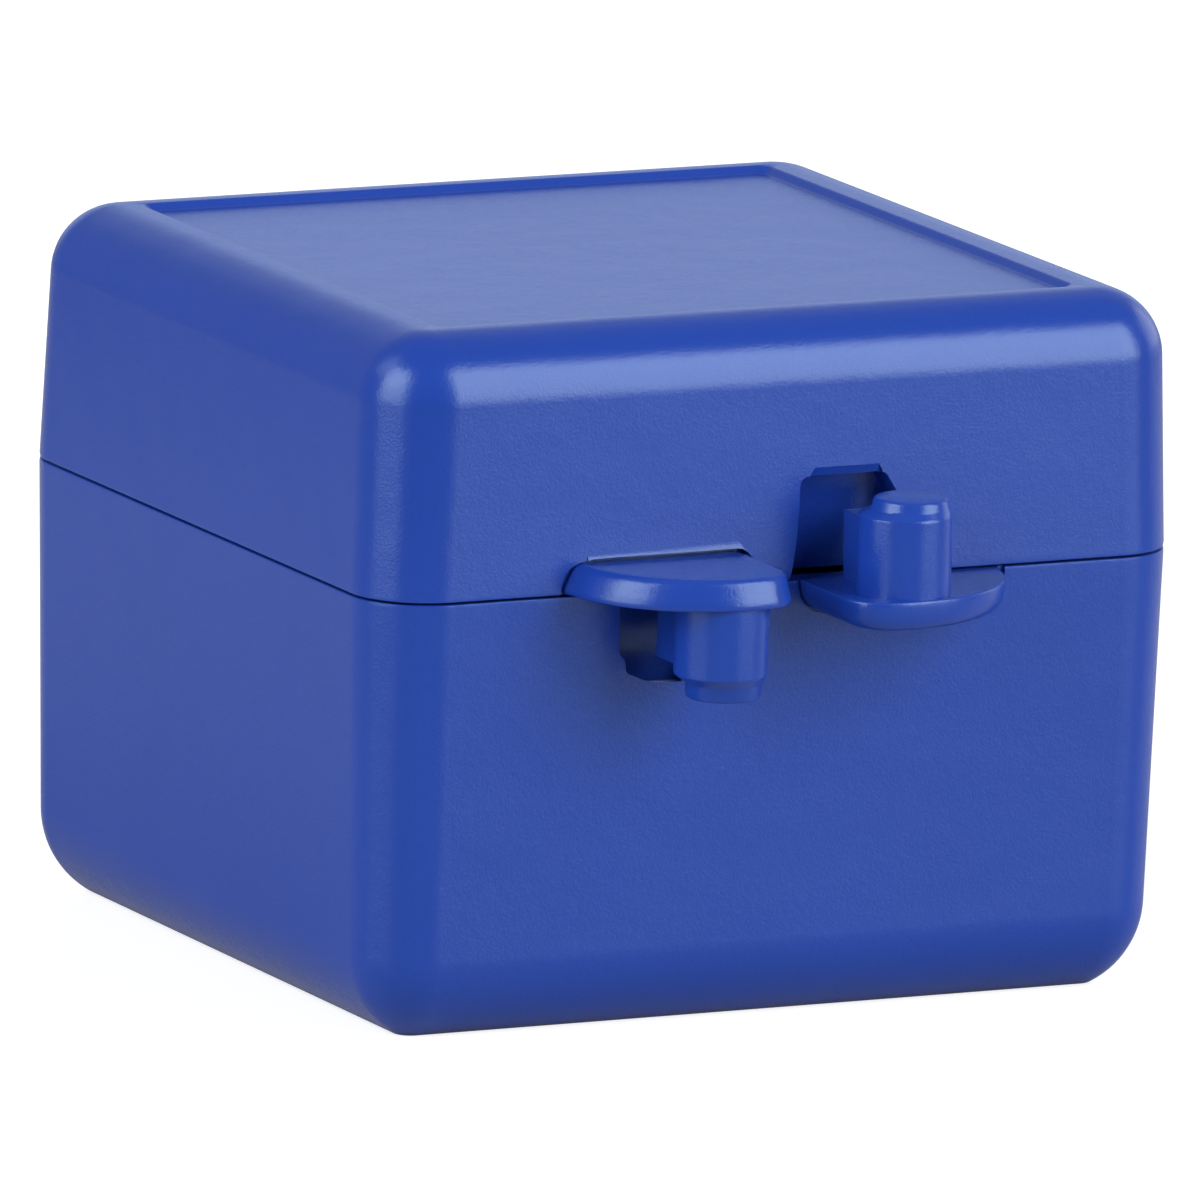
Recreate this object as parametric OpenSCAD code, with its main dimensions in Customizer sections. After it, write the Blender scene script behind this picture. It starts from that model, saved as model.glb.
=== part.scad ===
// Small moulded box with a hinged lid and two snap latch tabs.
// Millimetres, Z up. The latches face -Y and the hinge is at +Y.
// The origin is the middle of the footprint, on the surface that the box stands on.

/* [Box] */
// Width at the parting line, side to side
body_w = 50; // [40:0.5:80]
// Depth at the parting line, front to back
body_d = 48.4; // [40:0.1:80]
// Height of the base, up to the parting line
base_h = 25; // [18:0.5:50]
// Height of the lid above the parting line
lid_h = 14.7; // [12:0.1:30]
// Thickness of the walls
wall_t = 1.8; // [1.4:0.1:2.4]
// Thickness of the floor
floor_t = 1.8; // [1.2:0.1:3]
// Thickness of the lid's roof beside the sunk panel
roof_t = 2; // [1.4:0.1:3]
// Gap between the two rims when the lid is shut
rim_gap = 0.12; // [0.05:0.01:0.3]

/* [Rounding and draft] */
// Radius of the upright edges at the parting line
rim_corner_r = 4.2; // [3:0.1:8]
// Radius of the upright edges at the top of the lid
lid_corner_r = 4.3; // [4:0.1:8]
// Radius of the upright edges near the floor
foot_corner_r = 3.8; // [3.4:0.1:8]
// Rounding of the lid's top edges
lid_edge_r = 3.9; // [2:0.1:4]
// Rounding of the base's bottom edges
foot_edge_r = 5.6; // [3:0.1:6]
// Turn of the bottom rounding before it meets the flat underside, degrees
foot_edge_arc = 61; // [50:1:66]
// Draft of the lid's walls, degrees
lid_draft = 1.5; // [0.5:0.1:2]
// Draft of the base's walls, degrees
base_draft = 1.4; // [0.5:0.1:2]
// Rounding where the walls meet the floor and the roof inside
inner_edge_r = 1.9; // [0.5:0.1:1.9]

/* [Sunk panel] */
// Width of the sunk panel in the lid's top
panel_w = 39.4; // [20:0.2:39.6]
// Depth of the sunk panel, front to back
panel_d = 38.8; // [20:0.2:39]
// How far the panel is sunk
panel_sink = 0.4; // [0.2:0.05:0.8]
// Radius of the panel's corners
panel_corner_r = 0.8; // [0.4:0.1:4]

/* [Latch tabs] */
// Distance from the middle of the box to the lid's post, on the left
lid_post_offset = 6.65; // [6.4:0.05:8.5]
// Distance from the middle of the box to the base's post, on the right
base_post_offset = 4.75; // [4.5:0.05:7]
// Radius of the curved front of the lid's flange
lid_flange_r = 7.9; // [7.7:0.1:8.4]
// Radius of the curved front of the base's flange
base_flange_r = 9.2; // [8.4:0.1:9.6]
// How far a flange stands out from the wall
flange_reach = 7.4; // [6.6:0.1:7.4]
// Distance from a post to the straight side of its flange
flange_side = 4; // [3.6:0.1:4.4]
// Radius of the corner between a flange's front and its straight side
flange_corner_r = 2.4; // [1.6:0.1:3]
// How far a flange's curved front is centred from its post
flange_shift = 0.6; // [0:0.1:0.8]
// Thickness of a flange
flange_t = 1.7; // [1.5:0.1:2.5]
// Rounding of a flange's edge away from the parting line
flange_edge_r = 1.1; // [0.5:0.1:1.1]
// Diameter of the round post on a flange
post_d = 5.3; // [4:0.1:5.6]
// How far a post stands past the rim
post_len = 5.35; // [4.5:0.05:7]
// Distance from the front of a flange to the front of its post
post_setback = 0.2; // [0:0.1:1]
// Inward run of the bevel round the end of a post
post_bevel = 0.6; // [0.3:0.05:1]
// Height of the bevel on the lid's post
lid_post_bevel_h = 1.05; // [0.4:0.05:1.4]
// Height of the bevel on the base's post
base_post_bevel_h = 0.55; // [0.4:0.05:1.4]
// Depth of the seat that a flange's root stands in
seat_depth = 0.3; // [0.1:0.05:0.3]

/* [Lugs and pockets] */
// Width of the lug behind a post
lug_w = 2.8; // [2:0.1:3.4]
// How far a lug reaches past the rim
lug_len = 3.85; // [3:0.05:4.2]
// How far a lug reaches into the wall of the other half
lug_reach = 0.6; // [0.4:0.1:1]
// Bevel at the tip of a lug
lug_bevel = 0.4; // [0.2:0.05:0.4]
// Gap between a lug and the back of its pocket
pocket_back_gap = 1.3; // [0.3:0.1:1.4]
// Gap between a lug and the left side of the lid's pocket
lid_pocket_left_gap = 2.8; // [1:0.05:3]
// Gap between a lug and the left side of the base's pocket
base_pocket_left_gap = 2.35; // [1:0.05:3]
// Gap between a lug and the right side of its pocket
pocket_right_gap = 0.8; // [0.4:0.05:1]
// Gap past the tip of the lug in the lid's pocket
lid_pocket_end_gap = 2.3; // [1.2:0.1:2.6]
// Gap past the tip of the lug in the base's pocket
base_pocket_end_gap = 1.2; // [1:0.05:2.6]
// Thickness of the housing round a pocket inside the box
housing_t = 1.2; // [0.8:0.1:1.6]

/* [Hinge] */
// Diameter of the hinge pin
pin_d = 2; // [1.5:0.1:2.5]
// Outer diameter of the hinge knuckles
knuckle_d = 4.6; // [4:0.1:6]
// Length of the lid's knuckle
lid_knuckle_l = 18; // [10:0.5:20]
// Length of each of the base's knuckles
base_knuckle_l = 6; // [4:0.5:7]
// Gap between the knuckles, end to end
knuckle_gap = 0.25; // [0.1:0.05:0.4]
// Gap between a knuckle and the wall of the other half
hinge_wall_gap = 0.3; // [0.2:0.05:0.6]
// How far the stop heel stands out behind a knuckle
heel_run = 0.6; // [0.3:0.1:1]
// Widest opening of the lid, degrees
open_angle = 110; // [95:1:115]

/* [Hidden] */

// Colours of the moulded halves and of the pin
moulded_blue = [0.16, 0.27, 0.64];
pin_steel = [0.72, 0.73, 0.75];

// Roundness of hulled corners and of turned shapes, and the steps in a rounding
corner_fn = 40;
turned_fn = 64;
rounding_steps = 8;
front_steps = 20;
rim_steps = 3;
slice_t = 0.01;

// One overrun serves every cut, and each wall ends at its rim in a short upright land
overrun = 0.5;
rim_land = 0.2;

// Halves of the sizes that are used from the middle
front_y = -body_d / 2;
back_y = body_d / 2;
lid_rise = lid_h - rim_gap;
post_r = post_d / 2;
knuckle_r = knuckle_d / 2;
pin_r = pin_d / 2;

// A flange's root stands in a seat, and its edge at the parting line is eased
flange_rim_r = 0.3;
post_y = post_setback + post_r - flange_reach;
post_root = flange_t / 5;
root_gap = 0.03;
seat_gap = 0.2;
corner_x = flange_corner_r - flange_side;

// Pockets: their depth, the bevels at their corners and the flare at the rim
pocket_depth = lug_reach + pocket_back_gap;
lid_pocket_h = lug_len + lid_pocket_end_gap;
base_pocket_h = lug_len + base_pocket_end_gap;
pocket_bevel_left = 0.9;
pocket_bevel_right = 1.5;
pocket_mouth_bevel = 0.4;
pocket_flare = 0.4;
pocket_flare_h = 1.5;
pocket_jog = 0.4;
pocket_jog_h = 1.7;
pocket_toe_h = 0.7;
lid_pocket_left = base_post_offset - lug_w / 2 - lid_pocket_left_gap;
lid_pocket_right = base_post_offset + lug_w / 2 + pocket_right_gap;
base_pocket_left = -lid_post_offset - lug_w / 2 - base_pocket_left_gap;
base_pocket_right = lug_w / 2 + pocket_right_gap - lid_post_offset;

// The lug clears the rim that it passes over
lug_lift = 0.05;

// Hinge axis, with the pin's running gap in the lid and its grip in the base
hinge_offset = knuckle_r + hinge_wall_gap;
hinge_y = back_y + hinge_offset;
pin_running_gap = 0.05;
pin_grip = 0.01;
pin_inset = 0.2;
pin_bevel = 0.2;
hinge_pad_h = knuckle_d;

// The heel behind each base knuckle meets the back of the lid at the widest opening
stop_gap = 0.1;
heel_y = knuckle_r + heel_run;
heel_z = (hinge_offset - stop_gap + heel_y * cos(open_angle)) / sin(open_angle);

function arc_points(r, first, last, steps = rounding_steps) = [
    for (i = [0 : steps])
        let (a = first + (last - first) * i / steps)
            [r * cos(a), r * sin(a)]
];

// Puts a half's own frame in place: its rim at zero, and up is away from the rim
module in_base() {
    translate([0, 0, base_h]) mirror([0, 0, 1]) children();
}

module in_lid() {
    translate([0, 0, base_h + rim_gap]) children();
}

// Draws an outline of Y and Z sizes along X, from one X to another
module along_x(from_x, to_x) {
    translate([from_x, 0, 0]) rotate([90, 0, 90]) linear_extrude(to_x - from_x) children();
}

// Draws an outline of X and Z sizes along Y, from one Y to another
module along_y(from_y, to_y) {
    translate([0, to_y, 0]) rotate([90, 0, 0]) linear_extrude(to_y - from_y) children();
}

module at_corners(w, d, r) {
    for (x = [-1, 1] * (w / 2 - r), y = [-1, 1] * (d / 2 - r))
        translate([x, y, 0]) children();
}

// The rounding at the end of an upright edge, as a turned shape
module edge_end(corner_r, edge_r, edge_arc, draft) {
    middle = corner_r - edge_r * cos(draft);
    curve = arc_points(edge_r, draft, edge_arc);
    outline = [for (p = curve) [max(0, middle + p[0]), p[1]]];
    rotate_extrude($fn = corner_fn)
        polygon(concat([[0, curve[0][1]]], outline, [[0, curve[rounding_steps][1]]]));
}

// A block with drafted walls, rounded upright edges and a rounded far end
module half_block(w, d, h, rim_r, end_r, edge_r, edge_arc, draft) {
    edge_z = h - edge_r * sin(edge_arc);
    lean = 2 * (edge_z + edge_r * sin(draft) - rim_land) * tan(draft);
    hull() {
        at_corners(w, d, rim_r) cylinder(r = rim_r, h = rim_land, $fn = corner_fn);
        at_corners(w - lean, d - lean, end_r)
            translate([0, 0, edge_z]) edge_end(end_r, edge_r, edge_arc, draft);
    }
}

// The space inside a half, open at the rim
module half_cavity(h, end_r, draft) {
    translate([0, 0, -rim_land])
        half_block(
            body_w - 2 * wall_t, body_d - 2 * wall_t, h + rim_land,
            rim_corner_r - wall_t, end_r - wall_t, inner_edge_r, 90, draft
        );
}

// Half of the chord that a flange's curved front of radius r cuts at the wall
function front_chord(r) = sqrt(pow(r, 2) - pow(r - flange_reach, 2));

// The seat in the wall for the root of a half's own tab, the long side at +X
module tab_seat(r) {
    far = front_chord(r) - flange_shift;
    far_curve = arc_points(flange_edge_r + seat_gap, 0, 90);
    near_curve = arc_points(flange_edge_r + seat_gap, 90, 180);
    edge_z = flange_t - flange_edge_r;
    along_y(front_y - overrun, front_y + seat_depth)
        polygon(concat(
            [[far + seat_gap, -overrun]],
            [for (p = far_curve) [far - flange_edge_r + p[0], edge_z + p[1]]],
            [for (p = near_curve) [flange_edge_r - flange_side + p[0], edge_z + p[1]]],
            [[-flange_side - seat_gap, -overrun]]
        ));
}

// A block inside the wall that closes a pocket towards the inside of the box
module pocket_housing(left, right, h) {
    translate([left - housing_t, front_y + wall_t / 2, 0])
        cube([
            right - left + 2 * housing_t,
            pocket_depth + housing_t - wall_t / 2,
            h + housing_t
        ]);
}

// The lid's pocket: bevelled upper corners, a bevelled mouth and a flare at the rim
module lid_pocket() {
    deep_h = lid_pocket_h - pocket_mouth_bevel;
    wall_y = front_y + lid_pocket_h * tan(lid_draft);
    along_y(front_y - overrun, front_y + pocket_depth)
        polygon([
            [lid_pocket_left - pocket_flare, -overrun],
            [lid_pocket_left - pocket_flare, 0],
            [lid_pocket_left, pocket_flare_h],
            [lid_pocket_left, lid_pocket_h - pocket_bevel_left],
            [lid_pocket_left + pocket_bevel_left - pocket_mouth_bevel, deep_h],
            [lid_pocket_right - pocket_bevel_right + pocket_mouth_bevel, deep_h],
            [lid_pocket_right, lid_pocket_h - pocket_bevel_right],
            [lid_pocket_right, -overrun]
        ]);
    along_x(lid_pocket_left + pocket_bevel_left, lid_pocket_right - pocket_bevel_right)
        polygon([
            [front_y - overrun, deep_h - pocket_mouth_bevel],
            [wall_y + pocket_mouth_bevel, deep_h - pocket_mouth_bevel],
            [wall_y + pocket_mouth_bevel, deep_h],
            [wall_y, lid_pocket_h],
            [front_y - overrun, lid_pocket_h]
        ]);
}

// The base's pocket: a jog and a bevel at its lower left corner
module base_pocket() {
    along_y(front_y - overrun, front_y + pocket_depth)
        polygon([
            [base_pocket_left, -overrun],
            [base_pocket_left, base_pocket_h - pocket_jog_h],
            [base_pocket_left + pocket_jog, base_pocket_h - pocket_jog_h + pocket_jog],
            [base_pocket_left + pocket_jog, base_pocket_h - pocket_toe_h],
            [base_pocket_left + pocket_jog + pocket_bevel_right, base_pocket_h],
            [base_pocket_right - pocket_bevel_left, base_pocket_h],
            [base_pocket_right, base_pocket_h - pocket_bevel_left],
            [base_pocket_right, -overrun]
        ]);
}

// A flat pad on the back wall, upright where the wall is drafted
module hinge_pad(from_x, length) {
    translate([from_x, back_y - wall_t / 2, 0]) cube([length, wall_t / 2, hinge_pad_h]);
}

// A flange's plan: a front of radius r, a corner and a straight side towards -X, all taken in
function flange_plan(r, inset) =
    let (
        middle_y = r - flange_reach,
        lean_x = corner_x + flange_shift,
        lean_y = sqrt(pow(r - flange_corner_r, 2) - pow(lean_x, 2)),
        meeting_angle = atan2(-lean_y, lean_x),
        root_y = seat_depth - root_gap,
        last_angle = asin((root_y - middle_y) / (r - inset)),
        corner = arc_points(flange_corner_r - inset, -180, meeting_angle),
        front = arc_points(r - inset, meeting_angle, last_angle, front_steps)
    ) concat(
        [[inset - flange_side, root_y]],
        [for (p = corner) [corner_x + p[0], middle_y - lean_y + p[1]]],
        [for (p = front) [p[0] - flange_shift, middle_y + p[1]]]
    );

// A flange, rounded along its edges by slices of its plan
module flange(r) {
    hull() {
        for (p = arc_points(flange_rim_r, -90, 0, rim_steps))
            translate([0, 0, flange_rim_r + p[1]])
                linear_extrude(slice_t) polygon(flange_plan(r, flange_rim_r - p[0]));
        for (p = arc_points(flange_edge_r, 0, 90))
            translate([0, 0, flange_t - flange_edge_r + p[1] - slice_t])
                linear_extrude(slice_t) polygon(flange_plan(r, flange_edge_r - p[0]));
    }
}

module post(bevel_h) {
    translate([0, post_y, 0])
        rotate_extrude($fn = turned_fn)
            polygon([
                [0, post_root],
                [post_r, post_root],
                [post_r, bevel_h - post_len],
                [post_r - post_bevel, -post_len],
                [0, -post_len]
            ]);
}

module lug() {
    along_x(-lug_w / 2, lug_w / 2)
        polygon([
            [post_y, post_root],
            [-root_gap, post_root],
            [-root_gap, -lug_lift],
            [lug_reach, -lug_lift],
            [lug_reach, lug_bevel - lug_len],
            [lug_reach - lug_bevel, -lug_len],
            [post_y, -lug_len]
        ]);
}

// A tab stands on the wall at a half's rim: a flange, and a post and a lug past the rim
module latch_tab(r, bevel_h) {
    translate([0, front_y, 0]) {
        flange(r);
        post(bevel_h);
        lug();
    }
}

// Puts a half's own tab in place: the long side of its flange is away from the middle
module at_base_post() {
    translate([base_post_offset, 0, 0]) children();
}

module at_lid_post() {
    translate([-lid_post_offset, 0, 0]) mirror([1, 0, 0]) children();
}

module base_shell() {
    base_knuckle_x = lid_knuckle_l / 2 + knuckle_gap;
    color(moulded_blue)
        in_base()
            difference() {
                union() {
                    difference() {
                        half_block(
                            body_w, body_d, base_h, rim_corner_r,
                            foot_corner_r, foot_edge_r, foot_edge_arc, base_draft
                        );
                        half_cavity(base_h - floor_t, foot_corner_r, base_draft);
                    }
                    pocket_housing(base_pocket_left, base_pocket_right, base_pocket_h);
                    hinge_pad(base_knuckle_x, base_knuckle_l);
                    hinge_pad(-base_knuckle_x - base_knuckle_l, base_knuckle_l);
                }
                base_pocket();
                at_base_post() tab_seat(base_flange_r);
            }
}

module base_latch_tab() {
    color(moulded_blue)
        in_base() at_base_post() latch_tab(base_flange_r, base_post_bevel_h);
}

// A base knuckle with its web to the wall and its stop heel, about the hinge axis
module base_knuckle(from_x) {
    color(moulded_blue)
        translate([0, hinge_y, base_h])
            along_x(from_x, from_x + base_knuckle_l)
                difference() {
                    union() {
                        circle(r = knuckle_r, $fn = turned_fn);
                        translate([-hinge_offset, -knuckle_r]) square([hinge_offset, knuckle_r]);
                        translate([0, -knuckle_r]) square([heel_y, knuckle_r + heel_z]);
                    }
                    circle(r = pin_r - pin_grip, $fn = turned_fn);
                }
}

module base_knuckle_left() {
    base_knuckle(-lid_knuckle_l / 2 - knuckle_gap - base_knuckle_l);
}

module base_knuckle_right() {
    base_knuckle(lid_knuckle_l / 2 + knuckle_gap);
}

module hinge_pin() {
    length = lid_knuckle_l + 2 * (knuckle_gap + base_knuckle_l - pin_inset);
    color(pin_steel)
        translate([-length / 2, hinge_y, base_h])
            rotate([0, 90, 0])
                rotate_extrude($fn = turned_fn)
                    polygon([
                        [0, 0],
                        [pin_r - pin_bevel, 0],
                        [pin_r, pin_bevel],
                        [pin_r, length - pin_bevel],
                        [pin_r - pin_bevel, length],
                        [0, length]
                    ]);
}

module lid_shell() {
    color(moulded_blue)
        in_lid()
            difference() {
                union() {
                    difference() {
                        half_block(
                            body_w, body_d, lid_rise, rim_corner_r,
                            lid_corner_r, lid_edge_r, 90, lid_draft
                        );
                        half_cavity(lid_rise - roof_t, lid_corner_r, lid_draft);
                    }
                    pocket_housing(lid_pocket_left, lid_pocket_right, lid_pocket_h);
                    hinge_pad(-lid_knuckle_l / 2, lid_knuckle_l);
                }
                lid_pocket();
                at_lid_post() tab_seat(lid_flange_r);
                translate([0, 0, lid_rise - panel_sink]) sunk_panel();
            }
}

// The sunk panel in the lid's top, with rounded corners
module sunk_panel() {
    linear_extrude(panel_sink + overrun) {
        square([panel_w - 2 * panel_corner_r, panel_d], center = true);
        square([panel_w, panel_d - 2 * panel_corner_r], center = true);
        at_corners(panel_w, panel_d, panel_corner_r)
            circle(r = panel_corner_r, $fn = corner_fn);
    }
}

module lid_latch_tab() {
    color(moulded_blue)
        in_lid() at_lid_post() latch_tab(lid_flange_r, lid_post_bevel_h);
}

module lid_knuckle() {
    color(moulded_blue)
        translate([0, hinge_y, base_h])
            along_x(-lid_knuckle_l / 2, lid_knuckle_l / 2)
                difference() {
                    union() {
                        circle(r = knuckle_r, $fn = turned_fn);
                        translate([-hinge_offset, rim_gap])
                            square([hinge_offset, knuckle_r - rim_gap]);
                    }
                    circle(r = pin_r + pin_running_gap, $fn = turned_fn);
                }
}

base_shell();
base_latch_tab();
base_knuckle_left();
base_knuckle_right();
hinge_pin();
lid_shell();
lid_latch_tab();
lid_knuckle();
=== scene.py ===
"""A small blue moulded box with a hinged lid and two snap latch tabs, dressed over its CAD frame.

Shapes are worked out in millimetres, in the CAD's frame, and written to their meshes in metres.
"""
import math

import bmesh
import bpy
from mathutils import Matrix, Vector


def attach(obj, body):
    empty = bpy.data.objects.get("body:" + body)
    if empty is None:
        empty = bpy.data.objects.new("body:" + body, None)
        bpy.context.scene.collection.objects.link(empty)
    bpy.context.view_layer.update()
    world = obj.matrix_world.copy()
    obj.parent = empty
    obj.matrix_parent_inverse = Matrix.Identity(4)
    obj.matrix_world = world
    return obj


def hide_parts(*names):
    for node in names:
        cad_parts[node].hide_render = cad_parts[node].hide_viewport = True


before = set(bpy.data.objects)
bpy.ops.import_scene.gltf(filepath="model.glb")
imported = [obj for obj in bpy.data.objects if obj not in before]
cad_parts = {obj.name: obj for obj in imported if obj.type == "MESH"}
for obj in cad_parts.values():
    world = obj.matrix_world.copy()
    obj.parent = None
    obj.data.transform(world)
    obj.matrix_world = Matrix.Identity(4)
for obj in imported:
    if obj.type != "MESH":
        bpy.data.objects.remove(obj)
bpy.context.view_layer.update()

# Sizes in millimetres and angles in degrees, as in the part's source
BODY_W, BODY_D, BASE_H, LID_RISE, RIM_GAP = 50.0, 48.4, 25.0, 14.58, 0.12
WALL, FLOOR, ROOF = 1.8, 1.8, 2.0
RIM_CORNER, LID_CORNER, FOOT_CORNER = 4.2, 4.3, 3.8
LID_EDGE, FOOT_EDGE, FOOT_ARC, INNER_EDGE = 3.9, 5.6, 61.0, 1.9
LID_DRAFT, BASE_DRAFT = 1.5, 1.4
PANEL_W, PANEL_D, PANEL_SINK, PANEL_CORNER = 39.4, 38.8, 0.4, 0.8
LAND = 0.2
FRONT, BACK = -BODY_D / 2, BODY_D / 2
LID_POST, BASE_POST = -6.65, 4.75
LID_FLANGE, BASE_FLANGE, FLANGE_REACH, FLANGE_SIDE = 7.9, 9.2, 7.4, 4.0
FLANGE_CORNER, FLANGE_SHIFT, FLANGE_T = 2.4, 0.6, 1.7
POST_R, POST_LEN, POST_SETBACK = 2.65, 5.35, 0.2
POST_ROOT, POST_Y = FLANGE_T / 5, POST_SETBACK + POST_R - FLANGE_REACH
LUG_W, LUG_LEN, LUG_REACH, LUG_BEVEL = 2.8, 3.85, 0.6, 0.4
HOUSING, HOUSING_END, SEAT_DEPTH, ROOT_GAP = 1.2, 3.1, 0.3, 0.03
KNUCKLE_R, PIN_R, HINGE_OFFSET, HINGE_Y = 2.3, 1.0, 2.6, 26.8
LID_KNUCKLE, BASE_KNUCKLE, KNUCKLE_GAP, HEEL_Y, HEEL_Z = 18.0, 6.0, 0.25, 2.9, 1.605
KNUCKLE_X = LID_KNUCKLE / 2 + KNUCKLE_GAP + BASE_KNUCKLE / 2
PIN_CLEARANCE, PIN_INSET = 0.05, 0.2

# Finer forms that only the scene has; the housings as their pocket's left, right and height
SOFT_EDGE, SOFT_LIP, SOFT_DROP = 0.07, 0.02, 0.03
POCKET_DEPTH, POCKET_LEAN, BASE_POCKET_SPREAD = 2.8, 0.9, 0.8
LID_HOUSING, BASE_HOUSING = (0.55, 6.95, 6.15), (-10.4, -4.45, 5.05)
FLANGE_LAND, FLANGE_MIDDLE, BROW_PROUD, BROW_ROOT = 0.35, 1.0, 0.13, 0.6
HOUSING_BEVEL, PAD_BEVEL, POCKET_BEVEL = 0.25, 0.04, 0.2
FLANGE_BEVEL, LUG_ROUND, KNUCKLE_BEVEL = 0.14, 0.7, 0.12

# How finely shapes are divided, where cutters start in front of the wall, and what counts as one place
CORNER_STEPS, EDGE_STEPS, INNER_STEPS = 14, 16, 8
OUTSIDE, WELD, TOUCH = -0.6, 0.0005, 0.001

# The plastic and the steel: colours, roughness, noise scales per metre, their weights, and depths in metres
BLUE_LOW, BLUE_HIGH = (0.0088, 0.0395, 0.280), (0.0132, 0.0530, 0.360)
SPARK_SCALE, SWELL_SCALE, WAVE_SCALE, DRIFT_SCALE, SPECK_SCALE = 7000, 1300, 250, 55, 4200
SPARK_WEIGHT, SWELL_WEIGHT, WAVE_WEIGHT, DRIFT_WEIGHT, SPECK_WEIGHT = 1.3, 1.2, 4.0, 0.4, 0.6
STEEL_LOW, STEEL_HIGH, LINE_SCALE = (0.52, 0.53, 0.55, 1), (0.70, 0.70, 0.71, 1), 9000
PLASTIC_ROUGH, STEEL_ROUGH = (0.19, 0.26), (0.22, 0.38)
GRAIN_DEPTH, LINE_DEPTH = 0.00001, 0.000004

# The studio, where a level of 1 is white. The sky lights the box at SKY_LEVEL. Mirrored rays see a share of
# the white that the camera sees. The floor's tone is a painted pool of light, paler near the box and darker
# far out, between two reaches in metres, and it glows by what the lamps leave missing to white.
SKY_LEVEL, SKY_SHARE, FLOOR_SHARE = 0.12, 0.2, 0.08
POOL_NEAR_TONE, POOL_FAR_TONE, NEAR_REACH, FAR_REACH = 0.48, 0.12, 0.12, 0.32
FLOOR_WHITE, FLOOR_LIT = 1.16, 0.85
WHITE, COOL = (1, 1, 1), (0.67, 0.96, 1.6)
# Soft panels: turns from the front, rises above the floor, brightness and tint
PANELS = (
    ("key_panel", (17, 58), (2, 51), 6.15, WHITE),
    ("right_panel", (86, 124), (1, 30), 1.3, WHITE),
    ("left_panel_low", (-102, -61), (1, 22), 4.4, WHITE),
    ("left_panel", (-102, -61), (22, 50), 6.2, WHITE),
    ("left_back_panel", (-132, -103), (30, 57), 1.6, WHITE),
    ("back_panel", (126, 182), (1, 22), 0.43, COOL),
    ("back_panel_high", (126, 182), (22, 52), 0.12, COOL),
)


# Camera

def photo_camera():
    """The camera that the photograph's outline was fitted with."""
    place_turn, place_rise, reach, middle_z = math.radians(-26.37), math.radians(11.12), 1.4507, 0.025
    turn, rise, roll = math.radians(-26.38), math.radians(11.34), math.radians(1.55)
    back = Vector((math.sin(turn) * math.cos(rise), -math.cos(turn) * math.cos(rise), math.sin(rise)))
    level = Vector((math.cos(turn), math.sin(turn), 0))
    upright = back.cross(level)
    right = math.cos(roll) * level + math.sin(roll) * upright
    up = math.cos(roll) * upright - math.sin(roll) * level
    data = bpy.data.cameras.new("photo_camera")
    data.lens, data.sensor_width = 772.65, 36.0
    data.clip_start, data.clip_end = 0.1, 10.0
    camera = bpy.data.objects.new("photo_camera", data)
    bpy.context.scene.collection.objects.link(camera)
    place = Vector((
        math.sin(place_turn) * math.cos(place_rise),
        -math.cos(place_turn) * math.cos(place_rise),
        math.sin(place_rise),
    )) * reach + Vector((0, 0, middle_z))
    camera.matrix_world = Matrix.Translation(place) @ Matrix((right, up, back)).transposed().to_4x4()
    bpy.context.scene.camera = camera


# Mesh helpers

def new_object(name, bm):
    """An object in metres from a mesh that was shaped in millimetres."""
    bmesh.ops.remove_doubles(bm, verts=bm.verts[:], dist=WELD)
    bmesh.ops.recalc_face_normals(bm, faces=bm.faces[:])
    bmesh.ops.scale(bm, vec=(0.001, 0.001, 0.001), verts=bm.verts[:])
    mesh = bpy.data.meshes.new(name)
    bm.to_mesh(mesh)
    bm.free()
    piece = bpy.data.objects.new(name, mesh)
    bpy.context.scene.collection.objects.link(piece)
    return piece


def ring_edges(ring):
    """The edges along a closed ring of vertices."""
    found = []
    for first, second in zip(ring, ring[1:] + ring[:1]):
        found.append(next(edge for edge in first.link_edges if edge.other_vert(first) is second))
    return found


def place_ring(ring, w, d, r, z):
    """Lays a ring of vertices along a rounded rectangle at height z."""
    per_corner = len(ring) // 4
    signs = ((1, 1), (-1, 1), (-1, -1), (1, -1))
    for index, vert in enumerate(ring):
        corner, step = divmod(index, per_corner)
        turn = math.radians(90 * corner + 90 * step / (per_corner - 1))
        side_x, side_y = signs[corner]
        vert.co = (
            side_x * (w / 2 - r) + r * math.cos(turn),
            side_y * (d / 2 - r) + r * math.sin(turn),
            z,
        )


def loft(levels):
    """A closed skin over rounded rectangles (w, d, r, z), with a face at its first and last one."""
    bm = bmesh.new()
    made = bmesh.ops.create_circle(bm, cap_ends=False, segments=4 * (CORNER_STEPS + 1), radius=1)
    ring = sorted(made["verts"], key=lambda vert: math.atan2(vert.co.y, vert.co.x))
    place_ring(ring, *levels[0])
    bm.faces.new(ring)
    for level in levels[1:]:
        drawn = bmesh.ops.extrude_edge_only(bm, edges=ring_edges(ring))["geom"]
        fresh = {item for item in drawn if isinstance(item, bmesh.types.BMVert)}
        ring = [
            next(edge.other_vert(vert) for edge in vert.link_edges if edge.other_vert(vert) in fresh)
            for vert in ring
        ]
        place_ring(ring, *level)
    bm.faces.new(ring)
    bmesh.ops.recalc_face_normals(bm, faces=bm.faces[:])
    return bm


def wall_levels(w, d, h, rim_r, end_r, edge_r, arc, draft, land, steps):
    """Levels of a drafted wall from its land to the end of its edge rounding."""
    slope = math.radians(draft)
    edge_z = h - edge_r * math.sin(math.radians(arc))
    lean = 2 * (edge_z + edge_r * math.sin(slope) - land) * math.tan(slope)
    levels = [(w, d, rim_r, land)]
    for step in range(steps + 1):
        turn = slope + (math.radians(arc) - slope) * step / steps
        r = end_r + edge_r * (math.cos(turn) - math.cos(slope))
        spread = 2 * (r - end_r) - lean
        levels.append((w + spread, d + spread, r, edge_z + edge_r * math.sin(turn)))
    return levels


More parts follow.
